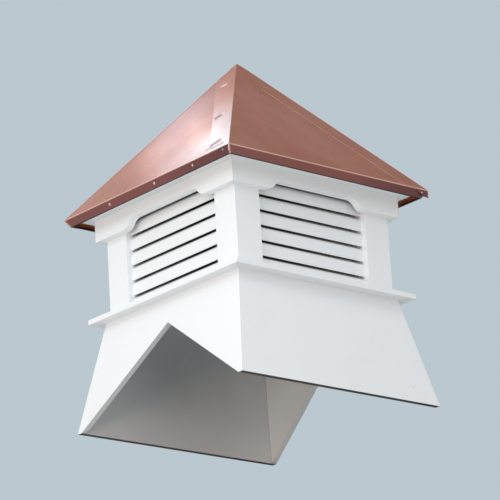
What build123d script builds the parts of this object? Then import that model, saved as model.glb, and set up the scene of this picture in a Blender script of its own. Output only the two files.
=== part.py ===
from build123d import *
import math
import os

os.makedirs("parts", exist_ok=True)

# Louvred cupola for the ridge of a barn roof, in millimetres.
# The origin is under the middle of the base, on the level of its two long bottom edges.
# The ridge that it straddles runs along X. Front is -Y, back +Y, left -X and right +X.

# Flared base that straddles the ridge
base_foot_width = 762.0       # over the outside of the bottom edges, square
base_top_width = 621.0        # over the outside, under the sill
base_height = 336.0
base_board = 18.0             # thickness of the flared boards
saddle_rise = 254.0           # height of the notch over the ridge, in the left and right boards

# Projecting sill on top of the base
sill_thickness = 15.0
sill_projection = 48.5        # beyond the faces of the posts
sill_board_width = 118.0

# Louvred body
body_width = 600.0            # over the faces of the corner posts, square
post_height = 312.0
post_face_width = 92.0        # each of the two faces of a corner post
post_board = 18.0             # thickness of its two boards

# Louvre frames, behind the posts
stile_width = 24.0
frame_depth = 44.0
head_rail_height = 9.0
bottom_rail_height = 20.0
bottom_rail_depth = 21.0

# Slats of the louvres, drawn plastic sheet with an upright front and a rain lip at the back
slat_count = 6
slat_pitch = 47.4
slat_thickness = 3.0
slat_front_height = 27.0      # the upright front, up to where the shoulder starts
slat_shoulder_radius = 18.0   # outer radius of the bend to the level shelf
slat_lip_setback = 26.0       # from the front of the slat to the front of its lip
slat_lip_rise = 10.0          # top of the lip above the shelf
slat_setback = 0.5            # front of the slat behind the front of the frame
first_slat_height = 3.3       # lower edge of the lowest slat above the sill

# Insect screens, behind the frames
screen_sheet = 1.0
screen_rim_width = 10.0
screen_rim_depth = 4.0
screen_margin = 2.0           # from the edges of the frame

# Arched frieze boards under the eaves, on the faces of the posts
frieze_thickness = 25.3
frieze_height = 68.6
arch_raise = 30.5             # the raised middle of the lower edge above its two ends
arch_half_width = 134.0       # half the straight, raised stretch
arch_end_run = 60.0           # length of the double curve at each end

# Soffit boards, each with a bevelled block on top that carries the roof deck
soffit_thickness = 10.5
soffit_setback = 33.2         # from the upper fold of the copper edge in to the soffit's edge
soffit_block_width = 26.0

# Copper roof
eave_width = 781.0            # over the upper fold of the copper edge, square
roof_rise = 463.0             # from the upper fold to the point
copper = 1.0                  # thickness of the sheet
edge_drop = 22.0              # height of the turned-down edge
edge_inset = 13.6             # how far its foot leans in
edge_hem = 7.0                # width of the hem under it
roof_deck = 9.0               # thickness of the boards under the copper
lap_width = 90.0              # flange folded over the hip, measured along the eave
lap_top_drop = 115.0          # height below the point where the flange starts to narrow
lap_bend = 4.5                # strip of the fold that stays on the panel's own side
lap_tab = 49.0                # tab of the flange on the turned-down edge, from the upper corner to the cut
lap_tab_foot = 36.0           # the same at the foot of the cut, which slants
upright_laps = ("front", "right")   # panels whose tab leaves the leaning edge and hangs upright
upright_tab_foot = 20.0
lap_point_gap = 10.0          # the laps stop this far from the axis at the point

# Levels, counted from the bottom edges
sill_bottom = base_height
sill_top = sill_bottom + sill_thickness
soffit_bottom = sill_top + post_height
soffit_top = soffit_bottom + soffit_thickness
roof_point = soffit_top + roof_rise

# Half widths, counted from the upright axis
body_half = body_width / 2
post_inner_edge = body_half - post_face_width
post_back = body_half - post_board
frame_front = post_back
frame_back = frame_front - frame_depth
sill_half = body_half + sill_projection
sill_inner = sill_half - sill_board_width
frieze_face = body_half + frieze_thickness
eave_half = eave_width / 2
roof_slope = math.atan2(roof_rise, eave_half)

# Working sizes for pieces before they are cut, past the end of everything
reach = max(base_foot_width, eave_width)
top_reach = 2 * roof_point

turns = {"front": 0, "right": 1, "back": 2, "left": 3}


def turned(shape, quarter_turns):
    return Rot(0, 0, 90 * quarter_turns) * shape


def save(name, shape):
    export_step(shape, f"parts/{name}.step")


def upright_prism(plan_points, bottom, top):
    outline = Polyline(*[(x, y, bottom) for x, y in plan_points], close=True)
    return extrude(make_face(outline), amount=top - bottom, dir=(0, 0, 1))


# The quarter of the plan in front of the axis, between the two diagonals
front_quarter = upright_prism([(0, 0), (reach, -reach), (-reach, -reach)], -reach, top_reach)


def mitred_front(section):
    # A length of the section, given as (distance from the axis, height), mitred at both corners
    outline = Polyline(*[(0, -distance, height) for distance, height in section], close=True)
    length = extrude(make_face(outline), amount=reach, dir=(1, 0, 0), both=True)
    return length & front_quarter


def beside(line, gap):
    # The line that runs beside the given one, this far on its inner side
    normals = []
    for (start_out, start_up), (end_out, end_up) in zip(line, line[1:]):
        length = math.hypot(end_out - start_out, end_up - start_up)
        normals.append(((end_up - start_up) / length, -(end_out - start_out) / length))
    shifted = []
    for index, (out, up) in enumerate(line):
        before = normals[max(index - 1, 0)]
        after = normals[min(index, len(normals) - 1)]
        scale = gap / (1 + before[0] * after[0] + before[1] * after[1])
        shifted.append((out + scale * (before[0] + after[0]), up + scale * (before[1] + after[1])))
    return shifted


# Base boards

base_flare = (base_foot_width - base_top_width) / 2
base_level_thickness = base_board / math.cos(math.atan2(base_flare, base_height))
base_inner_foot = base_foot_width / 2 - base_level_thickness


def base_section():
    foot = base_foot_width / 2
    top = base_top_width / 2
    return [(foot, 0), (top, base_height), (top - base_level_thickness, base_height), (base_inner_foot, 0)]


def saddle_notch():
    # Everything under the two slopes that meet over the ridge, from the inner edges of the feet
    low = 2 * base_inner_foot
    points = [(0, saddle_rise), (low, -saddle_rise), (-low, -saddle_rise)]
    outline = Polyline(*[(0, y, z) for y, z in points], close=True)
    return extrude(make_face(outline), amount=reach, dir=(1, 0, 0), both=True)


base_front = mitred_front(base_section())
save("base_front", base_front)
save("base_back", turned(base_front, turns["back"]))
notch = saddle_notch()
for side in ("left", "right"):
    save(f"base_{side}", turned(base_front, turns[side]) - notch)

# Sill boards, corner posts and soffit boards

sill_section = [(sill_inner, sill_bottom), (sill_half, sill_bottom), (sill_half, sill_top), (sill_inner, sill_top)]
sill_front = mitred_front(sill_section)

post_plan = [
    (-body_half, -body_half),
    (-post_inner_edge, -body_half),
    (-post_inner_edge, -post_back),
    (-post_back, -post_back),
    (-post_back, -post_inner_edge),
    (-body_half, -post_inner_edge),
]
post_front_left = upright_prism(post_plan, sill_top, soffit_bottom)

# The copper line: point, upper fold of the eave, foot of the turned-down edge, end of the hem
upper_fold = (eave_half, soffit_top)
edge_foot = (eave_half - edge_inset, soffit_top - edge_drop)
hem_end = (edge_foot[0] - edge_hem, edge_foot[1])
copper_line = [(0, roof_point), upper_fold, edge_foot, hem_end]
copper_inside = beside(copper_line, copper)


def axis_height(depth):
    # Where a layer this deep under the copper's face meets the axis
    return roof_point - depth / math.cos(roof_slope)


def layer_width(depth, height):
    return (axis_height(depth) - height) / math.tan(roof_slope)


def deck_underside(distance):
    return axis_height(copper + roof_deck) - distance * math.tan(roof_slope)


soffit_half = eave_half - soffit_setback
block_inner = soffit_half - soffit_block_width
soffit_section = [
    (sill_inner, soffit_bottom),
    (soffit_half, soffit_bottom),
    (soffit_half, deck_underside(soffit_half)),
    (block_inner, deck_underside(block_inner)),
    (block_inner, soffit_top),
    (sill_inner, soffit_top),
]
soffit_front = mitred_front(soffit_section)

corners = {"front_left": 0, "front_right": 1, "back_right": 2, "back_left": 3}
for corner, quarter_turns in corners.items():
    save(f"corner_post_{corner}", turned(post_front_left, quarter_turns))

# Louvre frames, slats and screens


def front_block(x_low, x_high, outer, inner, bottom, top):
    # A straight block between two distances from the axis
    plan = [(x_low, -outer), (x_high, -outer), (x_high, -inner), (x_low, -inner)]
    return upright_prism(plan, bottom, top)


frame_half = post_inner_edge + stile_width


def louvre_frame():
    opening = front_block(
        -post_inner_edge, post_inner_edge, frame_front, frame_back, sill_top, soffit_bottom - head_rail_height
    )
    frame = front_block(-frame_half, frame_half, frame_front, frame_back, sill_top, soffit_bottom) - opening
    bottom_rail = front_block(
        -post_inner_edge, post_inner_edge, frame_back + bottom_rail_depth, frame_back,
        sill_top, sill_top + bottom_rail_height
    )
    return frame + bottom_rail


def slat_profile():
    # Drawn as (distance behind the front of the slat, height above its lower edge)
    shoulder = slat_front_height
    shelf = shoulder + slat_shoulder_radius
    inner_radius = slat_shoulder_radius - slat_thickness
    lip_back = slat_lip_setback + slat_thickness
    front = Line((0, 0), (0, shoulder))
    outer_bend = TangentArc(front @ 1, (slat_shoulder_radius, shelf), tangent=(0, 1))
    shelf_and_lip = Polyline(
        outer_bend @ 1,
        (slat_lip_setback, shelf),
        (slat_lip_setback, shelf + slat_lip_rise),
        (lip_back, shelf + slat_lip_rise),
        (lip_back, shelf - slat_thickness),
        (slat_shoulder_radius, shelf - slat_thickness),
    )
    inner_bend = CenterArc((slat_shoulder_radius, shoulder), inner_radius, 90, 90)
    back = Polyline(inner_bend @ 1, (slat_thickness, 0), (0, 0))
    return make_face(Curve() + [front, outer_bend, shelf_and_lip, inner_bend, back])


def slats():
    # Between the stiles, each on a plane with its X inwards and its Y upwards
    section = slat_profile()
    front = frame_front - slat_setback
    rows = []
    for row in range(slat_count):
        lower_edge = sill_top + first_slat_height + row * slat_pitch
        middle = Plane(origin=(0, -front, lower_edge), x_dir=(0, 1, 0), z_dir=(1, 0, 0))
        rows.append(extrude(middle * section, amount=post_inner_edge, both=True))
    return rows


def insect_screen():
    half = frame_half - screen_margin
    bottom = sill_top + screen_margin
    top = soffit_bottom - screen_margin
    sheet_back = frame_back - screen_sheet
    sheet = front_block(-half, half, frame_back, sheet_back, bottom, top)
    rim = front_block(-half, half, sheet_back, sheet_back - screen_rim_depth, bottom, top)
    rim -= front_block(
        -half + screen_rim_width, half - screen_rim_width, sheet_back, sheet_back - screen_rim_depth,
        bottom + screen_rim_width, top - screen_rim_width
    )
    return sheet + rim


frame_front_side = louvre_frame()
slats_front_side = slats()
screen_front_side = insect_screen()

# Arched frieze boards


def arch_outline(bottom, top):
    # The board's outline, with the raised middle of its lower edge joined by double curves
    outer = reach
    low_end = arch_half_width + arch_end_run
    middle = arch_half_width + arch_end_run / 2
    raised = bottom + arch_raise
    left_low = (-low_end, bottom)
    left_mid = (-middle, bottom + arch_raise / 2)
    left_high = (-arch_half_width, raised)
    right_high = (arch_half_width, raised)
    right_mid = (middle, bottom + arch_raise / 2)
    right_low = (low_end, bottom)
    rise_start = TangentArc(left_low, left_mid, tangent=(1, 0))
    rise_end = TangentArc(left_mid, left_high, tangent=rise_start % 1)
    fall_start = TangentArc(right_high, right_mid, tangent=(1, 0))
    fall_end = TangentArc(right_mid, right_low, tangent=fall_start % 1)
    flat = Line(left_high, right_high)
    rest = Polyline(right_low, (outer, bottom), (outer, top), (-outer, top), (-outer, bottom), left_low)
    return make_face(Curve() + [rise_start, rise_end, flat, fall_start, fall_end, rest])


def frieze():
    bottom = soffit_bottom - frieze_height
    face = Plane.XZ.offset(frieze_face) * arch_outline(bottom, soffit_bottom)
    board = extrude(face, amount=frieze_thickness, dir=(0, 1, 0))
    return board & front_quarter


frieze_front = frieze()

# Roof deck under the copper


def deck_front():
    under = copper + roof_deck
    section = [
        (0, axis_height(copper)),
        (layer_width(copper, soffit_top), soffit_top),
        (layer_width(under, soffit_top), soffit_top),
        (0, axis_height(under)),
    ]
    return mitred_front(section)


# Copper panels: slope, turned-down edge and hem, with a flange lapped over the next face


def panel_front():
    inside = [(0, axis_height(copper))] + copper_inside[1:]
    return mitred_front(copper_line + inside[::-1])


lap_outside = beside(copper_line[:3], -copper)


def lap_slope():
    # A second layer of sheet on the slope
    return mitred_front([copper_line[0], upper_fold, lap_outside[1], (0, axis_height(-copper))])


def lap_tab_layer(upright):
    # The tab, a second layer on the turned-down edge that ends in a slanting cut
    outer_fold, outer_foot = lap_outside[1:]
    if upright:
        feet = [(eave_half, edge_foot[1]), (outer_fold[0], edge_foot[1])]
        foot_end = eave_half - upright_tab_foot
    else:
        feet = [edge_foot, outer_foot]
        foot_end = eave_half - lap_tab_foot
    layer = mitred_front([upper_fold] + feet + [outer_fold])
    top_end = eave_half - lap_tab
    beyond_tab = [
        (top_end, outer_fold[1]), (foot_end, edge_foot[1]), (foot_end, 0), (-reach, 0), (-reach, outer_fold[1]),
    ]
    cut = Polyline(*[(x, -reach, z) for x, z in beyond_tab], close=True)
    return layer - extrude(make_face(cut), amount=reach, dir=(0, 1, 0))


def lap_on_front(upright):
    # The flange of the right-hand panel, as it lies on the front face along the right-hand hip
    slope = lap_slope()
    tab = lap_tab_layer(upright)
    corner = eave_half + 2 * copper
    narrow = lap_top_drop / math.tan(roof_slope)
    narrow_edge = narrow - lap_width
    point = lap_point_gap
    plan = [
        (point, -point), (corner, -corner), (corner - lap_width, -corner), (narrow_edge, -narrow),
        (narrow_edge * point / narrow, -point),
    ]
    flange = (slope & upright_prism(plan, 0, top_reach)) + tab

    # What stays on the panel's own side of the hip
    over_the_hip = Plane(origin=(0, 0, 0), x_dir=(0, 0, 1), z_dir=(1, 1, 0))
    bend_plan = [(point, -point), (corner, -corner), (corner, lap_bend - corner), (point, lap_bend - point)]
    bend = upright_prism(bend_plan, 0, top_reach)
    return flange + (mirror(slope + tab, about=over_the_hip) & bend)


deck = deck_front()
panel = panel_front()
laps = {side: lap_on_front(side in upright_laps) for side in turns}

for side, quarter_turns in turns.items():
    save(f"sill_{side}", turned(sill_front, quarter_turns))
    save(f"soffit_{side}", turned(soffit_front, quarter_turns))
    save(f"louvre_frame_{side}", turned(frame_front_side, quarter_turns))
    save(f"louvre_slats_{side}", Compound([turned(board, quarter_turns) for board in slats_front_side]))
    save(f"insect_screen_{side}", turned(screen_front_side, quarter_turns))
    save(f"frieze_{side}", turned(frieze_front, quarter_turns))
    save(f"roof_deck_{side}", turned(deck, quarter_turns))
    save(f"copper_panel_{side}", turned(panel, quarter_turns) + turned(laps[side], quarter_turns - 1))
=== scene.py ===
import math
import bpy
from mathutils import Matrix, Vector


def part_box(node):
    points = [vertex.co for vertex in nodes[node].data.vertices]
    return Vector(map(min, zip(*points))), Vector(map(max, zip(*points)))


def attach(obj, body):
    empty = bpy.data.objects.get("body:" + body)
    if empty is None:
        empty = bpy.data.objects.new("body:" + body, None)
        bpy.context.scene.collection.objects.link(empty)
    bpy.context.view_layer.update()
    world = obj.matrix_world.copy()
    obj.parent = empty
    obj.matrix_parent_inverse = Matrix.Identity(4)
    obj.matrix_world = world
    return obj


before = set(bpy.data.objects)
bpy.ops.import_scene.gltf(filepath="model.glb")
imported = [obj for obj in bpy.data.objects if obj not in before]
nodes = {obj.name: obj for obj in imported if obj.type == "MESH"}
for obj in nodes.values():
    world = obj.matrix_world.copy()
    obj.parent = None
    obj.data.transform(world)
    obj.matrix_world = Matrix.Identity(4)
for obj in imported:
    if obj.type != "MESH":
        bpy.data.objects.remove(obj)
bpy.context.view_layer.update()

from types import SimpleNamespace

import bpy
from mathutils import Matrix, Vector

print("frame loaded,", len(nodes), "nodes")


# Camera: below the cupola, looking up at the corner between the left and the front side

middle = (0.0, 0.0, 0.45)    # what the camera and most lamps aim at

cameraSet = {
    "azimuth": -41.22,       # degrees, 0 looks along +Y
    "elevation": -18.02,     # below the level of the aim point
    "roll": -3.47,
    "distance": 9.582,
    "aim": Vector(middle),
    "lens": 229.9,           # and the sensor, both in millimetres
    "sensor": 36.0,
    "shift": (0.0008, 0.0522),
    "clip": (0.1, 200.0),
}


def placeCamera(values):
    azimuth = math.radians(values["azimuth"])
    elevation = math.radians(values["elevation"])
    roll = math.radians(values["roll"])
    level = math.cos(elevation)
    back = Vector((math.sin(azimuth) * level, -math.cos(azimuth) * level, math.sin(elevation)))
    plainRight = Vector((math.cos(azimuth), math.sin(azimuth), 0.0))
    plainUp = back.cross(plainRight)
    right = plainRight * math.cos(roll) + plainUp * math.sin(roll)
    up = plainUp * math.cos(roll) - plainRight * math.sin(roll)
    data = bpy.data.cameras.new("camera")
    data.lens = values["lens"]
    data.sensor_width = values["sensor"]
    data.shift_x, data.shift_y = values["shift"]
    data.clip_start, data.clip_end = values["clip"]
    camera = bpy.data.objects.new("camera", data)
    turn = Matrix((right, up, back)).transposed().to_4x4()
    camera.matrix_world = Matrix.Translation(values["aim"] + back * values["distance"]) @ turn
    bpy.context.collection.objects.link(camera)
    bpy.context.scene.camera = camera


placeCamera(cameraSet)
bpy.context.scene.view_settings.view_transform = "Standard"
print("camera set")


# Shader trees written as Python sums

class Wire:
    # one output of a node
    def __init__(self, sheet, socket):
        self.sheet = sheet
        self.socket = socket

    def sum(self, operation, *others):
        inputs = dict(enumerate((self,) + others))
        return self.sheet.add("ShaderNodeMath", {"operation": operation}, inputs)

    def __add__(self, other):
        return self.sum("ADD", other)

    def __radd__(self, other):
        return self.sum("ADD", other)

    def __sub__(self, other):
        return self.sum("SUBTRACT", other)

    def __rsub__(self, other):
        return self.sheet.add("ShaderNodeMath", {"operation": "SUBTRACT"}, {0: other, 1: self})

    def __mul__(self, other):
        return self.sum("MULTIPLY", other)

    def __rmul__(self, other):
        return self.sum("MULTIPLY", other)

    def __abs__(self):
        return self.sum("ABSOLUTE")

    def __gt__(self, other):
        return self.sum("GREATER_THAN", other)

    def __lt__(self, other):
        return self.sum("LESS_THAN", other)

    def sign(self):
        return self.sum("SIGN")

    def most(self, other):
        return self.sum("MAXIMUM", other)

    def least(self, other):
        return self.sum("MINIMUM", other)

    def rise(self, low, high):
        # 0 below low, 1 above high, smooth between
        settings = {"interpolation_type": "SMOOTHSTEP"}
        return self.sheet.add("ShaderNodeMapRange", settings, {0: self, 1: low, 2: high})

    def near(self, centre, width):
        # 1 at the centre, 0 from this width on
        return 1 - abs(self - centre).rise(0.0, width)


class Sheet:
    # one material's tree
    def __init__(self, name):
        self.material = bpy.data.materials.new(name)
        self.material.use_nodes = True
        self.tree = self.material.node_tree
        self.shader = self.tree.nodes["Principled BSDF"]
        self.output = self.tree.nodes["Material Output"]

    def add(self, kind, settings=None, inputs=None, out=0):
        node = self.tree.nodes.new(kind)
        for name, value in (settings or {}).items():
            setattr(node, name, value)
        for key, value in (inputs or {}).items():
            self.feed(node.inputs[key], value)
        return Wire(self, node.outputs[out])

    def feed(self, socket, value):
        if isinstance(value, Wire):
            self.tree.links.new(value.socket, socket)
        else:
            socket.default_value = value

    def place(self):
        return self.add("ShaderNodeTexCoord", out="Object")

    def facing(self):
        return self.add("ShaderNodeTexCoord", out="Normal")

    def split(self, vector):
        node = self.tree.nodes.new("ShaderNodeSeparateXYZ")
        self.feed(node.inputs[0], vector)
        return [Wire(self, socket) for socket in node.outputs]

    def stretch(self, vector, scale):
        return self.add("ShaderNodeMapping", None, {"Vector": vector, "Scale": scale})

    def noise(self, vector, scale, detail, roughness=0.5):
        inputs = {"Vector": vector, "Scale": scale, "Detail": detail, "Roughness": roughness}
        return self.add("ShaderNodeTexNoise", None, inputs)

    def blend(self, amount, first, second):
        colours = [value if isinstance(value, Wire) else (*value, 1.0) for value in (first, second)]
        inputs = {0: amount, 6: colours[0], 7: colours[1]}
        return self.add("ShaderNodeMix", {"data_type": "RGBA"}, inputs, out=2)

    def bump(self, height, distance, strength):
        inputs = {"Height": height, "Distance": distance, "Strength": strength}
        return self.add("ShaderNodeBump", None, inputs)

    def finish(self, **sockets):
        for name, value in sockets.items():
            socket = self.shader.inputs[socketNames[name]]
            if not isinstance(value, (Wire, float)):
                value = (*value, 1.0)
            self.feed(socket, value)
        return self.material


socketNames = {
    "colour": "Base Color",
    "roughness": "Roughness",
    "metallic": "Metallic",
    "normal": "Normal",
}


# White cellular plastic boards

boardSet = {
    "clouds": (2.5, 5.0, 0.6),          # each noise: scale, detail and roughness
    "lines": (60.0, 3.0),
    "specks": (420.0, 2.0),
    "white": (0.858, 0.876, 0.898),
    "shade": (0.80, 0.805, 0.80),       # faint weathering, in clouds and along the rolled lines
    "cloudSpan": (0.52, 0.78),
    "cloudShade": 0.7,
    "lineSpan": (0.6, 0.8),
    "lineShade": 0.2,
    "joint": (0.42, 0.42, 0.41),        # hairline where two boards meet at a mitre
    "jointSpan": (0.0002, 0.0006),      # from its middle: full up to here, none from here on
    "jointDepth": 3.0,                  # in heights of the rolled surface
    "roughness": 0.42,
    "roughnessSpread": 0.16,
    "lineHeight": 0.6,                  # shares of the rolled surface
    "speckHeight": 0.4,
    "grain": 0.00015,                   # height of the rolled surface
    "grainStrength": 0.5,
}


def boardMaterial(name, run, mitred):
    # run is the stretch of the rolled surface along x, y and z
    sheet = Sheet(name)
    place = sheet.place()
    x, y = sheet.split(place)[:2]
    clouds = sheet.noise(place, *boardSet["clouds"])
    lines = sheet.noise(sheet.stretch(place, run), *boardSet["lines"])
    specks = sheet.noise(place, *boardSet["specks"])
    weathered = (clouds.rise(*boardSet["cloudSpan"]) * boardSet["cloudShade"]
                 + lines.rise(*boardSet["lineSpan"]) * boardSet["lineShade"])
    colour = sheet.blend(weathered, boardSet["white"], boardSet["shade"])
    height = lines * boardSet["lineHeight"] + specks * boardSet["speckHeight"]
    if mitred:
        joint = 1 - abs(abs(x) - abs(y)).rise(*boardSet["jointSpan"])
        colour = sheet.blend(joint, colour, boardSet["joint"])
        height = height - joint * boardSet["jointDepth"]
    roughness = boardSet["roughness"] + (clouds - 0.5) * boardSet["roughnessSpread"]
    normal = sheet.bump(height, boardSet["grain"], boardSet["grainStrength"])
    return sheet.finish(colour=colour, roughness=roughness, normal=normal)


# how a pattern is scaled that is drawn out along one axis
alongX = (0.05, 1.0, 1.0)
alongY = (1.0, 0.05, 1.0)
alongZ = (1.0, 1.0, 0.05)
boardRuns = {"front": alongX, "back": alongX, "left": alongY, "right": alongY}
mitredBoards = {}
for side, run in boardRuns.items():
    mitredBoards[side] = boardMaterial("whiteBoard_" + side, run, True)
postBoard = boardMaterial("whiteBoardUpright", alongZ, False)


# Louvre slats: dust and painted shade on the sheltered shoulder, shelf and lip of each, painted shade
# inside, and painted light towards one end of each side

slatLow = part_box("louvre_slats_front")[0]

slatSet = {
    "lines": (40.0, 3.0),
    "clouds": (6.0, 4.0),
    "white": (0.858, 0.874, 0.892),
    "front": -slatLow.y,             # distance of the upright fronts from the axis
    "lipSetback": 0.026,             # of the rain lips, behind the fronts
    # beige grey for dust and painted shade
    "dustAndShade": (0.46, 0.43, 0.39),
    "cleanFront": 0.002,             # depth of the fronts that stays clean
    "shelfDustAndShade": 0.7,                # share of dust and painted shade behind the fronts
    "topDustAndShade": 0.3,                  # and on whatever faces up
    "topFacing": (0.2, 1.0),
    "dustAndShadeLeast": 0.45,
    "dustAndShadeClouds": 0.5,
    "lineSpan": (0.55, 0.8),
    "lineDust": 0.06,
    "deep": (0.045, 0.042, 0.038),   # painted shade inside, near black, from the lips on
    "insideShadeEnd": (0.002, 0.012),      # in front of the lips, over which it fades out
    "insideShadeShare": 0.92,
    "litEndSpan": (-0.12, 0.18),        # painted light along each side: towards its positive end the painted shade grows weaker
    "litEndShare": 0.62,
    "roughness": 0.40,
    "rougherLines": 0.1,
    "grain": 0.0002,
    "grainStrength": 0.4,
}


def slatMaterial(name, run):
    sheet = Sheet(name)
    place = sheet.place()
    x, y = sheet.split(place)[:2]
    facingUp = sheet.split(sheet.facing())[2]
    out = abs(x).most(abs(y))
    lip = slatSet["front"] - slatSet["lipSetback"]
    lines = sheet.noise(sheet.stretch(place, run), *slatSet["lines"])
    clouds = sheet.noise(place, *slatSet["clouds"])

    # dust and painted shade: the shoulder, shelf and lip behind each front, and whatever faces up, are
    # blended towards beige grey
    sheltered = 1 - out.rise(lip, slatSet["front"] - slatSet["cleanFront"])
    shelfAndTop = (sheltered * slatSet["shelfDustAndShade"]
             + facingUp.rise(*slatSet["topFacing"]) * slatSet["topDustAndShade"])
    dustAndShade = (shelfAndTop * (slatSet["dustAndShadeLeast"] + clouds * slatSet["dustAndShadeClouds"])
            + lines.rise(*slatSet["lineSpan"]) * slatSet["lineDust"])
    colour = sheet.blend(dustAndShade, slatSet["white"], slatSet["dustAndShade"])

    # painted shade inside the louvre, lightened by painted light towards the positive end of each side
    along = x if run is alongX else y
    stopBack, stopFront = slatSet["insideShadeEnd"]
    inside = 1 - out.rise(lip + stopBack, lip + stopFront)
    insideShadeShare = slatSet["insideShadeShare"] - along.rise(*slatSet["litEndSpan"]) * slatSet["litEndShare"]
    colour = sheet.blend(inside * insideShadeShare, colour, slatSet["deep"])
    roughness = slatSet["roughness"] + lines * slatSet["rougherLines"]
    normal = sheet.bump(lines, slatSet["grain"], slatSet["grainStrength"])
    return sheet.finish(colour=colour, roughness=roughness, normal=normal)


slatBoards = {}
for side, run in boardRuns.items():
    slatBoards[side] = slatMaterial("louvreSlat_" + side, run)


# Bare copper, folded and lapped by hand. The turned-down edge leans in from its upper fold.

edgeSet = {
    "drop": 0.022,
    "inset": 0.0136,
}

panelLow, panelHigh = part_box("copper_panel_front")
eaveHalf = panelHigh.x                          # over the upper fold
foldHeight = panelLow.z + edgeSet["drop"]
tabFace = -panelLow.x                           # outer face of the tabs that hang upright

copperSet = {
    # the slopes
    "clouds": (3.2, 5.0, 0.55),
    "streaks": (2.0, 4.0, 0.6),
    "streakRun": (9.0, 9.0, 0.9),           # streaks run down the slopes
    "specks": (55.0, 3.0, 0.6),
    "rose": (0.60, 0.165, 0.070),
    "brown": (0.49, 0.118, 0.044),
    "cloudSpan": (0.35, 0.7),
    "cloudBrown": 0.55,
    "streakSpan": (0.4, 0.75),
    "streakBrown": 0.35,
    "stain": (0.36, 0.13, 0.085),
    "speckSpan": (0.62, 0.8),
    "speckStain": 0.3,
    "upperShade": (0.42, 0.105, 0.045),           # painted shade: darker towards the point, on the left side only
    "upperShadeHeights": (0.80, 0.95),
    "upperShadeShare": 0.8,
    "hotSpotTone": (0.88, 0.60, 0.50),        # painted highlight: a bright patch on the lap and at the foot near the hip, left side only
    "lapHotSpot": 0.7,
    "lapHotSpotHeights": (0.76, 1.0),
    "footHotSpot": 0.45,
    "footHotSpotHeights": (0.70, 0.86),
    "footHotSpotReach": (0.10, 0.40),        # from the hip
    # the laps and the hips
    "lapWidth": 0.090,
    "lapStart": 0.002,
    # colour of the painted highlights below and of the bright side of each crease
    "highlightTone": (0.93, 0.66, 0.56),
    "lapLine": 0.2,                         # painted highlight along the free edge of each flange
    "lapLineHalf": 0.0016,
    "farHip": 0.6,                          # painted highlight along the hip at the left end of the left side
    "farHipHalf": 0.0070,
    # the turned-down edge, heights counted from its upper fold
    "edgeDark": (0.36, 0.150, 0.140),       # darker than the slopes
    "edgeSpan": (0.3, 0.7),
    "edgeStain": 0.35,
    "edgeStart": (-0.0030, -0.0005),
    "maroon": (0.25, 0.105, 0.105),
    "tarnish": (0.10, 0.34),                # from the hip: full up to here, none from here on
    "fold": 0.8,                            # painted highlight along the upper fold
    "foldRise": 0.0005,
    "foldHalf": 0.0035,
    "bend": 0.3,                            # painted highlight on the bend at each corner, brighter on the front half
    "frontBend": 0.6,
    "bendHalf": 0.0060,
    "cut": (0.44, 0.25, 0.20),              # cut edges of the sheet, which are dull
    "cutFacing": 0.6,
    "cutRise": 0.0004,
    "inside": (0.93, 0.40, 0.26),           # the side under the eaves is still new copper
    "insideFacing": -0.02,
    # painted shade: the lower part of the inside and the downward hem are near black
    "hemHeights": (0.658, 0.664),
    "hemFacing": -0.9,
    "edgeBlack": (0.015, 0.010, 0.010),
    # each crease: distance from the hip and height at its two ends, width, strength, and tone,
    # which is a painted highlight above 0 and painted shade below 0
    "creases": (
        (0.036, 1.036, 0.070, 1.035, 0.010, 0.8, 0.9),
        (0.058, 1.028, 0.092, 1.020, 0.007, 0.3, -0.6),
        (0.030, 0.868, 0.056, 0.862, 0.011, 0.8, 0.8),
        (0.048, 0.860, 0.086, 0.851, 0.011, 1.0, -0.9),
        (0.040, 0.716, 0.092, 0.706, 0.012, 1.0, -1.0),
        (0.026, 0.691, 0.088, 0.692, 0.010, 0.7, -0.6),
        (0.078, 0.699, 0.112, 0.697, 0.014, 0.5, -0.35),
    ),
    # painted shade for the dark side of each crease
    "crease": (0.17, 0.050, 0.028),
    "creaseStart": (-0.006, 0.008),         # how each crease fades at its two ends
    "creaseEnd": (-0.010, 0.003),
    "creaseRise": 0.004,
    "creasesElsewhere": 0.12,               # share that the other three panels show
}

copperRelief = {
    "dents": (4.5, 2.0, 0.4),
    "fineDents": (16.0, 3.0),
    "brushing": (240.0, 2.0),
    "brushingRun": (1.0, 1.0, 0.15),
    "height": 0.0030,
    "strength": 0.9,
    "dentHeight": 1.6,                      # shares of the height
    "fineDentHeight": 0.25,
    "creaseHeight": 0.5,
    "brushingHeight": 0.012,
}

copperSheen = {
    "roughness": 0.24,
    "cloudSpan": (0.3, 0.8),
    "rougherClouds": 0.10,
    "rougherEdge": 0.14,
    "rougherBrushing": 0.05,
    "foldDull": 0.6,                        # how much less metallic each of these is
    "bendDull": 0.8,
    "cutDull": 0.85,
    "creaseDull": 0.8,
}


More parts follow.
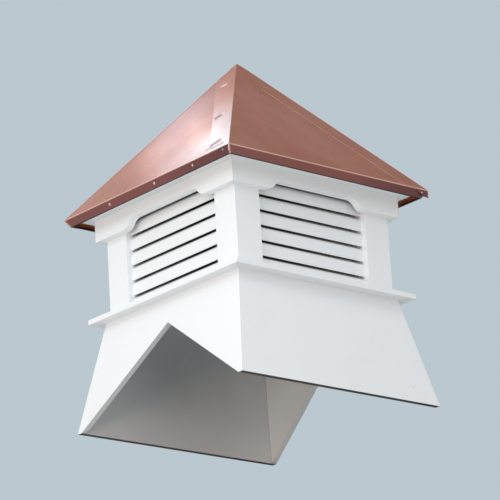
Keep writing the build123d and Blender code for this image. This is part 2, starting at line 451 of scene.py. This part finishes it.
def panelSpots(sheet):
    # where on its side of the roof a point lies: fromHip counts from the hip at the right end,
    # seen from outside, along which the flange of the next panel is lapped over
    spots = SimpleNamespace(place=sheet.place())
    x, y, z = sheet.split(spots.place)
    nx, ny, nz = sheet.split(sheet.facing())
    onEnds = abs(x) > abs(y)
    out = abs(x).most(abs(y))
    along = onEnds * y * x.sign() - (1 - onEnds) * x * y.sign()
    fromHip = out - along
    toHip = abs(x).least(abs(y)) - out
    onLeft = onEnds * (x < 0.0)
    lapWidth = copperSet["lapWidth"]
    edgeLow, edgeHigh = copperSet["edgeStart"]

    spots.z = z
    spots.fromHip = fromHip
    spots.onLeft = onLeft
    spots.onFront = y < 0.0
    spots.onLap = 1 - fromHip.rise(lapWidth - copperSet["lapStart"], lapWidth)
    spots.lapLine = fromHip.near(lapWidth, copperSet["lapLineHalf"]) * (z > foldHeight)
    spots.farHip = toHip.near(0.0, copperSet["farHipHalf"]) * onLeft * (y > 0.0)
    spots.edge = 1 - z.rise(foldHeight + edgeLow, foldHeight + edgeHigh)
    spots.fold = z.near(foldHeight + copperSet["foldRise"], copperSet["foldHalf"])
    spots.bend = spots.edge * toHip.near(0.0, copperSet["bendHalf"])
    spots.cut = (nz < copperSet["cutFacing"]) * (z > foldHeight + copperSet["cutRise"])
    spots.inside = ((nx * x + ny * y) < copperSet["insideFacing"]) * (z < foldHeight)
    spots.hem = nz < copperSet["hemFacing"]
    spots.slope = z > foldHeight + copperSet["creaseRise"]
    return spots


def slopeTone(sheet, spots, clouds):
    streaks = sheet.noise(sheet.stretch(spots.place, copperSet["streakRun"]), *copperSet["streaks"])
    specks = sheet.noise(spots.place, *copperSet["specks"])
    browned = (clouds.rise(*copperSet["cloudSpan"]) * copperSet["cloudBrown"]
               + streaks.rise(*copperSet["streakSpan"]) * copperSet["streakBrown"])
    tone = sheet.blend(browned, copperSet["rose"], copperSet["brown"])
    stained = specks.rise(*copperSet["speckSpan"]) * copperSet["speckStain"]
    tone = sheet.blend(stained, tone, copperSet["stain"])

    # painted shade on the upper left slope, darker towards the point
    upperShade = spots.z.rise(*copperSet["upperShadeHeights"]) * (1 - spots.onLap) * spots.onLeft
    tone = sheet.blend(upperShade * copperSet["upperShadeShare"], tone, copperSet["upperShade"])

    # painted highlight on the left side, over the lap and at the foot near the hip
    lap = spots.onLap * (1 - spots.z.rise(*copperSet["lapHotSpotHeights"]))
    foot = 1 - spots.z.rise(*copperSet["footHotSpotHeights"])
    foot = foot * (1 - spots.fromHip.rise(*copperSet["footHotSpotReach"]))
    hotSpot = (lap * copperSet["lapHotSpot"]).most(foot * copperSet["footHotSpot"]) * spots.onLeft
    tone = sheet.blend(hotSpot, tone, copperSet["hotSpotTone"])
    # painted highlight along the free edge of each flange
    tone = sheet.blend(spots.lapLine * copperSet["lapLine"], tone, copperSet["highlightTone"])
    # painted highlight along the far hip of the left side
    return sheet.blend(spots.farHip * copperSet["farHip"], tone, copperSet["highlightTone"])


def edgeTone(sheet, spots, clouds):
    stained = clouds.rise(*copperSet["edgeSpan"]) * copperSet["edgeStain"]
    tone = sheet.blend(stained, copperSet["edgeDark"], copperSet["stain"])
    return sheet.blend(1 - spots.fromHip.rise(*copperSet["tarnish"]), tone, copperSet["maroon"])


def insideTone(sheet, spots):
    # painted shade, near black, on the lower part of the inside
    hem = 1 - spots.z.rise(*copperSet["hemHeights"])
    return sheet.blend(hem, copperSet["inside"], copperSet["edgeBlack"])


def creaseMarks(spots):
    # relief of the creases, and their painted highlight and painted shade
    relief, tone = 0.0, 0.0
    startLow, startHigh = copperSet["creaseStart"]
    endLow, endHigh = copperSet["creaseEnd"]
    for startHip, startUp, endHip, endUp, width, strength, tint in copperSet["creases"]:
        slant = (endUp - startUp) / (endHip - startHip)
        line = spots.z - (spots.fromHip - startHip) * slant - startUp
        begun = spots.fromHip.rise(startHip + startLow, startHip + startHigh)
        ended = spots.fromHip.rise(endHip + endLow, endHip + endHigh)
        ridge = line.near(0.0, width) * (begun * (1 - ended))
        relief = relief + ridge * strength
        tone = tone + ridge * tint
    elsewhere = copperSet["creasesElsewhere"]
    shown = (elsewhere + spots.onLeft * (1 - elsewhere)) * spots.slope
    return relief * shown, tone * shown


def copperMaterial(name):
    sheet = Sheet(name)
    spots = panelSpots(sheet)
    clouds = sheet.noise(spots.place, *copperSet["clouds"])
    creaseRelief, creaseShading = creaseMarks(spots)
    creaseShade = (0 - creaseShading).most(0.0)
    highlightTone = copperSet["highlightTone"]

    colour = sheet.blend(spots.edge, slopeTone(sheet, spots, clouds), edgeTone(sheet, spots, clouds))
    # painted highlight along the upper fold
    colour = sheet.blend(spots.fold * copperSet["fold"], colour, highlightTone)
    # painted highlight on the corner bends, brighter on the front half
    bendShine = copperSet["bend"] + spots.onFront * copperSet["frontBend"]
    colour = sheet.blend(spots.bend * bendShine, colour, highlightTone)
    colour = sheet.blend(spots.cut, colour, copperSet["cut"])
    colour = sheet.blend(spots.inside, colour, insideTone(sheet, spots))
    # painted shade on the hem, which faces down
    colour = sheet.blend(spots.hem, colour, copperSet["edgeBlack"])
    # painted highlight and painted shade along the creases
    colour = sheet.blend(creaseShading, colour, highlightTone)
    colour = sheet.blend(creaseShade, colour, copperSet["crease"])

    dents = sheet.noise(spots.place, *copperRelief["dents"])
    fineDents = sheet.noise(spots.place, *copperRelief["fineDents"])
    brushed = sheet.stretch(spots.place, copperRelief["brushingRun"])
    brushing = sheet.noise(brushed, *copperRelief["brushing"])
    height = (dents * copperRelief["dentHeight"] + fineDents * copperRelief["fineDentHeight"]
              + creaseRelief * copperRelief["creaseHeight"] + brushing * copperRelief["brushingHeight"])
    normal = sheet.bump(height, copperRelief["height"], copperRelief["strength"])

    roughness = (copperSheen["roughness"]
                 + clouds.rise(*copperSheen["cloudSpan"]) * copperSheen["rougherClouds"]
                 + spots.edge * copperSheen["rougherEdge"] + brushing * copperSheen["rougherBrushing"])
    dull = (spots.fold * copperSheen["foldDull"]).most(spots.bend * copperSheen["bendDull"])
    dull = dull.most(spots.cut * copperSheen["cutDull"]).most(creaseShade * copperSheen["creaseDull"])
    return sheet.finish(colour=colour, roughness=roughness, metallic=1 - dull, normal=normal)


copper = copperMaterial("bareCopper")


# Deck boards under the copper, seen only from below

deckSet = {
    "grainNoise": (26.0, 6.0, 0.65),        # scale, detail and roughness
    "ringNoise": (7.0, 2.0),
    "grainShare": 0.6,
    "ringShare": 0.4,
    "span": (0.38, 0.62),
    "pale": (0.50, 0.34, 0.19),
    "dark": (0.27, 0.15, 0.07),
    "roughness": 0.72,
    "grain": 0.0008,
    "grainStrength": 0.6,
}


def deckMaterial(name, run):
    sheet = Sheet(name)
    place = sheet.place()
    grain = sheet.noise(sheet.stretch(place, run), *deckSet["grainNoise"])
    rings = sheet.noise(sheet.stretch(place, run), *deckSet["ringNoise"])
    mixed = (grain * deckSet["grainShare"] + rings * deckSet["ringShare"]).rise(*deckSet["span"])
    colour = sheet.blend(mixed, deckSet["pale"], deckSet["dark"])
    normal = sheet.bump(grain, deckSet["grain"], deckSet["grainStrength"])
    return sheet.finish(colour=colour, roughness=deckSet["roughness"], normal=normal)


deckBoards = {}
for side, run in boardRuns.items():
    deckBoards[side] = deckMaterial("deckBoard_" + side, run)


# Insect screens, a fine black weave

screenSet = {
    "black": (0.010, 0.010, 0.011),
    "worn": (0.035, 0.033, 0.031),
    "wornNoise": (12.0, 4.0),
    "wornSpan": (0.5, 0.8),
    "wornShare": 0.5,
    "pitch": 0.0016,
    "wire": 0.0003,              # how far the wires stand out
    "wireStrength": 0.6,
    "roughness": 0.75,
}


def screenMaterial():
    sheet = Sheet("blackMesh")
    place = sheet.place()
    x, y, z = sheet.split(place)
    turns = 2 * math.pi / screenSet["pitch"]
    across = ((x + y) * turns).sum("SINE")
    upright = (z * turns).sum("SINE")
    worn = sheet.noise(place, *screenSet["wornNoise"]).rise(*screenSet["wornSpan"])
    worn = worn * screenSet["wornShare"]
    colour = sheet.blend(worn, screenSet["black"], screenSet["worn"])
    normal = sheet.bump(across * upright, screenSet["wire"], screenSet["wireStrength"])
    return sheet.finish(colour=colour, roughness=screenSet["roughness"], normal=normal)


blackMesh = screenMaterial()


# Dress the frame's own pieces

def dress(node, material):
    for slot in nodes[node].material_slots:
        slot.material = material


sides = ("front", "right", "back", "left")
for side in sides:
    for board in ("base", "sill", "frieze", "soffit"):
        dress(board + "_" + side, mitredBoards[side])
    dress("louvre_frame_" + side, postBoard)
    dress("louvre_slats_" + side, slatBoards[side])
    dress("insect_screen_" + side, blackMesh)
    dress("roof_deck_" + side, deckBoards[side])
    dress("copper_panel_" + side, copper)
for corner in ("front_left", "front_right", "back_right", "back_left"):
    dress("corner_post_" + corner, postBoard)
print("frame dressed")


# Small metal: heads that repeat are set out by Geometry Nodes

def wireUp(tree, kind, settings=None, inputs=None):
    node = tree.nodes.new(kind)
    for name, value in (settings or {}).items():
        setattr(node, name, value)
    for key, value in (inputs or {}).items():
        if isinstance(value, bpy.types.NodeSocket):
            tree.links.new(value, node.inputs[key])
        else:
            node.inputs[key].default_value = value
    return node


def newTree(name, sizes):
    tree = bpy.data.node_groups.new(name, "GeometryNodeTree")
    tree.interface.new_socket(name="Geometry", in_out="INPUT", socket_type="NodeSocketGeometry")
    tree.interface.new_socket(name="Geometry", in_out="OUTPUT", socket_type="NodeSocketGeometry")
    identifiers = {}
    for label, kind in sizes:
        socket = tree.interface.new_socket(name=label, in_out="INPUT", socket_type="NodeSocket" + kind)
        identifiers[label] = socket.identifier
    start = tree.nodes.new("NodeGroupInput")
    end = tree.nodes.new("NodeGroupOutput")
    return tree, start.outputs, end.inputs, identifiers


def runTree(piece, tree, identifiers, values):
    modifier = piece.modifiers.new(tree.name, "NODES")
    modifier.node_group = tree
    for label, value in values.items():
        modifier[identifiers[label]] = value
    grown = piece.evaluated_get(bpy.context.evaluated_depsgraph_get())
    mesh = bpy.data.meshes.new_from_object(grown)
    piece.modifiers.remove(modifier)
    piece.data = mesh
    return piece


headSet = {
    "segments": 20,
    "rings": 10,
    "smallest": 0.9,         # no two heads are quite the same size
    "largest": 1.1,
}


def headsTree(values):
    # a domed head on every point, turned to the point's facing
    sizes = (("Head radius", "Float"), ("Rise", "Float"), ("Seed", "Int"), ("Metal", "Material"))
    tree, start, end, identifiers = newTree("domedHeads", sizes)
    inputs = {"Segments": values["segments"], "Rings": values["rings"], "Radius": start["Head radius"]}
    head = wireUp(tree, "GeometryNodeMeshUVSphere", None, inputs)
    inputs = {"X": 1.0, "Y": 1.0, "Z": start["Rise"]}
    flat = wireUp(tree, "ShaderNodeCombineXYZ", None, inputs)
    inputs = {"Geometry": head.outputs["Mesh"], "Scale": flat.outputs[0]}
    dome = wireUp(tree, "GeometryNodeTransform", None, inputs)
    smooth = wireUp(tree, "GeometryNodeSetShadeSmooth", None, {"Geometry": dome.outputs[0]})

    settings = {"data_type": "FLOAT_VECTOR"}
    facing = wireUp(tree, "GeometryNodeInputNamedAttribute", settings, {"Name": "facing"})
    turn = wireUp(tree, "FunctionNodeAlignRotationToVector", {"axis": "Z"}, {"Vector": facing.outputs[0]})
    inputs = {"Min": values["smallest"], "Max": values["largest"], "Seed": start["Seed"]}
    size = wireUp(tree, "FunctionNodeRandomValue", {"data_type": "FLOAT"}, inputs)
    sizeOut = [socket for socket in size.outputs if socket.enabled][0]

    inputs = {"Points": start["Geometry"], "Instance": smooth.outputs[0]}
    inputs.update({"Rotation": turn.outputs[0], "Scale": sizeOut})
    heads = wireUp(tree, "GeometryNodeInstanceOnPoints", None, inputs)
    real = wireUp(tree, "GeometryNodeRealizeInstances", None, {"Geometry": heads.outputs[0]})
    inputs = {"Geometry": real.outputs[0], "Material": start["Metal"]}
    painted = wireUp(tree, "GeometryNodeSetMaterial", None, inputs)
    tree.links.new(painted.outputs[0], end[0])
    return tree, identifiers


domedHeads = headsTree(headSet)


def setHeads(name, places, values):
    # places: (position, facing) pairs in metres
    mesh = bpy.data.meshes.new(name)
    mesh.from_pydata([tuple(position) for position, facing in places], [], [])
    attribute = mesh.attributes.new("facing", "FLOAT_VECTOR", "POINT")
    for index, (position, facing) in enumerate(places):
        attribute.data[index].vector = facing
    piece = bpy.data.objects.new(name, mesh)
    bpy.context.collection.objects.link(piece)
    tree, identifiers = domedHeads
    return runTree(piece, tree, identifiers, values)


def sideTurn(side):
    return Matrix.Rotation(math.radians(90.0 * sides.index(side)), 3, "Z")


nailSet = {
    # places along each side, towards its right end
    "along": {"left": (0.216, 0.038, -0.176), "back": (0.216, 0.038, -0.176), "front": (), "right": ()},
    "onTab": {"left": 0.3635, "front": 0.3635, "right": 0.352, "back": 0.352},
    "upright": ("left", "front"),     # sides whose tab hangs upright
    "sunk": 0.00143,                  # into an upright tab, so that the head hardly stands out of it
    "lapStep": 0.0010,                # a leaning tab lies this far over the edge
    "radius": 0.0042,
    "flatten": 0.45,
    "seed": 4,
    "metal": (0.95, 0.70, 0.62),
    "spotNoise": (160.0, 3.0),
    "spotSpan": (0.45, 0.75),
    "spotShare": 0.5,
    "roughness": 0.22,
    "rougherSpots": 0.1,
}


def nailMaterial():
    sheet = Sheet("copperNail")
    dots = sheet.noise(sheet.place(), *nailSet["spotNoise"])
    spotted = dots.rise(*nailSet["spotSpan"]) * nailSet["spotShare"]
    colour = sheet.blend(spotted, nailSet["metal"], copperSet["brown"])
    roughness = nailSet["roughness"] + dots * nailSet["rougherSpots"]
    return sheet.finish(colour=colour, roughness=roughness, metallic=1.0)


def edgeNails():
    drop, inset = edgeSet["drop"], edgeSet["inset"]
    lean = Vector((drop, inset)).normalized()
    out = eaveHalf - inset / 2
    height = foldHeight - drop / 2
    places = []
    for side in sides:
        turn = sideTurn(side)
        leaning = turn @ Vector((0.0, -lean.x, -lean.y))
        for along in nailSet["along"][side]:
            places.append((turn @ Vector((along, -out, height)), leaning))
        along = nailSet["onTab"][side]
        if side in nailSet["upright"]:
            spot = turn @ Vector((along, nailSet["sunk"] - tabFace, height))
            places.append((spot, turn @ Vector((0.0, -1.0, 0.0))))
        else:
            spot = turn @ Vector((along, -out, height))
            places.append((spot + leaning * nailSet["lapStep"], leaning))
    values = {"Head radius": nailSet["radius"], "Rise": nailSet["flatten"]}
    values.update({"Seed": nailSet["seed"], "Metal": nailMaterial()})
    return setHeads("copperNails", places, values)


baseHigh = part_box("base_front")[1]

screwSet = {
    "places": ((0.284, 0.0485), (0.262, 0.300)),      # to both sides of the middle, and up
    "topHalf": 0.3105,                                # half width of the base under the sill
    "radius": 0.0040,
    "flatten": 0.30,
    "seed": 9,
    "paint": (0.80, 0.81, 0.82),
    "chip": (0.45, 0.46, 0.47),
    "chipNoise": (220.0, 3.0),
    "chipSpan": (0.6, 0.75),
    "chipShare": 0.4,
    "roughness": 0.35,
    "rougherChips": 0.1,
}


def screwMaterial():
    sheet = Sheet("paintedScrew")
    chips = sheet.noise(sheet.place(), *screwSet["chipNoise"])
    chipped = chips.rise(*screwSet["chipSpan"]) * screwSet["chipShare"]
    colour = sheet.blend(chipped, screwSet["paint"], screwSet["chip"])
    roughness = screwSet["roughness"] + chips * screwSet["rougherChips"]
    return sheet.finish(colour=colour, roughness=roughness)


def baseScrews():
    footHalf = baseHigh.x
    flare = (footHalf - screwSet["topHalf"]) / baseHigh.z
    lean = Vector((1.0, flare)).normalized()
    places = []
    for side in ("front", "back"):
        turn = sideTurn(side)
        facing = turn @ Vector((0.0, -lean.x, lean.y))
        for reach, height in screwSet["places"]:
            out = footHalf - flare * height
            for along in (reach, -reach):
                places.append((turn @ Vector((along, -out, height)), facing))
    values = {"Head radius": screwSet["radius"], "Rise": screwSet["flatten"]}
    values.update({"Seed": screwSet["seed"], "Metal": screwMaterial()})
    return setHeads("baseScrews", places, values)


for piece, slot in ((edgeNails(), "copper"), (baseScrews(), "trim")):
    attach(piece, "root")
print("nails and screws set")


# Stage: one-way floor, pale surroundings and soft lamps

stageSet = {
    "floor": (0.66, 0.66, 0.65),
    "floorRoughness": 0.9,
    "background": (0.50, 0.575, 0.625),
    "ambient": (0.985, 0.98, 0.975),
    "ambientStrength": 0.68,
    "floorHalf": 30.0,
    "floorLevel": -0.0005,        # a hair under the boards, so that their bottom faces show from below
}


def makeFloor(values):
    half, level = values["floorHalf"], values["floorLevel"]
    mesh = bpy.data.meshes.new("floor")
    corners = [(-half, -half, level), (half, -half, level), (half, half, level), (-half, half, level)]
    mesh.from_pydata(corners, [], [(0, 1, 2, 3)])
    floor = bpy.data.objects.new("floor", mesh)
    bpy.context.collection.objects.link(floor)
    sheet = Sheet("floorPaint")
    sheet.finish(colour=values["floor"], roughness=values["floorRoughness"])
    seen = sheet.add("ShaderNodeLightPath", out="Is Camera Ray")
    shadow = sheet.add("ShaderNodeLightPath", out="Is Shadow Ray")
    fromBelow = sheet.add("ShaderNodeNewGeometry", out="Backfacing")
    solid = Wire(sheet, sheet.shader.outputs[0])
    clear = sheet.add("ShaderNodeBsdfTransparent")
    seeThrough = (seen * fromBelow).most(shadow)      # from below, and to the lamps that stand there
    oneWay = sheet.add("ShaderNodeMixShader", None, {0: seeThrough, 1: solid, 2: clear})
    sheet.feed(sheet.output.inputs["Surface"], oneWay)
    mesh.materials.append(sheet.material)


def makeWorld(values):
    # one tone lights the object, the other is seen behind it and in the metal
    world = bpy.data.worlds.new("surroundings")
    world.use_nodes = True
    tree = world.node_tree
    tree.nodes.clear()
    rays = tree.nodes.new("ShaderNodeLightPath").outputs
    either = {"operation": "MAXIMUM"}
    seen = wireUp(tree, "ShaderNodeMath", either, {0: rays["Is Camera Ray"], 1: rays["Is Glossy Ray"]})
    seen = wireUp(tree, "ShaderNodeMath", either, {0: seen.outputs[0], 1: rays["Is Transmission Ray"]})
    inputs = {"Color": (*values["ambient"], 1.0), "Strength": values["ambientStrength"]}
    lit = wireUp(tree, "ShaderNodeBackground", None, inputs)
    inputs = {"Color": (*values["background"], 1.0), "Strength": 1.0}
    plain = wireUp(tree, "ShaderNodeBackground", None, inputs)
    inputs = {0: seen.outputs[0], 1: lit.outputs[0], 2: plain.outputs[0]}
    both = wireUp(tree, "ShaderNodeMixShader", None, inputs)
    wireUp(tree, "ShaderNodeOutputWorld", None, {"Surface": both.outputs[0]})
    bpy.context.scene.world = world


lampSet = (
    # name, place, aim, width, height, watts, colour
    ("lowLeft", (-4.76, -1.27, -0.42), middle, 2.4, 0.8, 64.0, (1.0, 0.86, 0.74)),
    ("lowFront", (-1.27, -4.76, -0.42), middle, 2.4, 0.8, 18.9, (1.0, 0.86, 0.74)),
    ("key", (-4.38, -1.17, 2.56), middle, 2.4, 2.4, 40.3, (0.975, 0.995, 1.0)),
    ("side", (-3.20, -3.20, 2.56), middle, 2.4, 2.4, 22.3, (0.62, 0.86, 1.0)),
    ("high", (-2.50, -2.50, 3.99), middle, 2.4, 2.4, 28.5, (0.76, 0.92, 1.0)),
    ("glow", (0.52, 2.13, 2.90), (-0.2, 0.0, 0.90), 3.0, 3.0, 9.2, (0.84, 0.90, 0.93)),
    # two small ones that show in the copper of the left panel
    ("sheen", (-0.13, 0.447, 1.318), (-0.346, -0.196, 0.727), 0.32, 0.32, 0.40, (0.48, 0.74, 1.0)),
    ("glint", (-0.20, 0.17, 1.124), (-0.345, -0.265, 0.728), 0.10, 0.10, 0.035, (0.60, 0.86, 1.0)),
)


def makeLamp(name, place, aim, width, height, watts, colour):
    data = bpy.data.lights.new(name, "AREA")
    data.shape = "RECTANGLE"
    data.size, data.size_y = width, height
    data.energy = watts
    data.color = colour
    lamp = bpy.data.objects.new(name, data)
    lamp.location = place
    lamp.rotation_mode = "QUATERNION"
    lamp.rotation_quaternion = (Vector(aim) - Vector(place)).to_track_quat("-Z", "Y")
    lamp.visible_camera = False
    bpy.context.collection.objects.link(lamp)


makeFloor(stageSet)
makeWorld(stageSet)
for lamp in lampSet:
    makeLamp(*lamp)
print("stage lit")
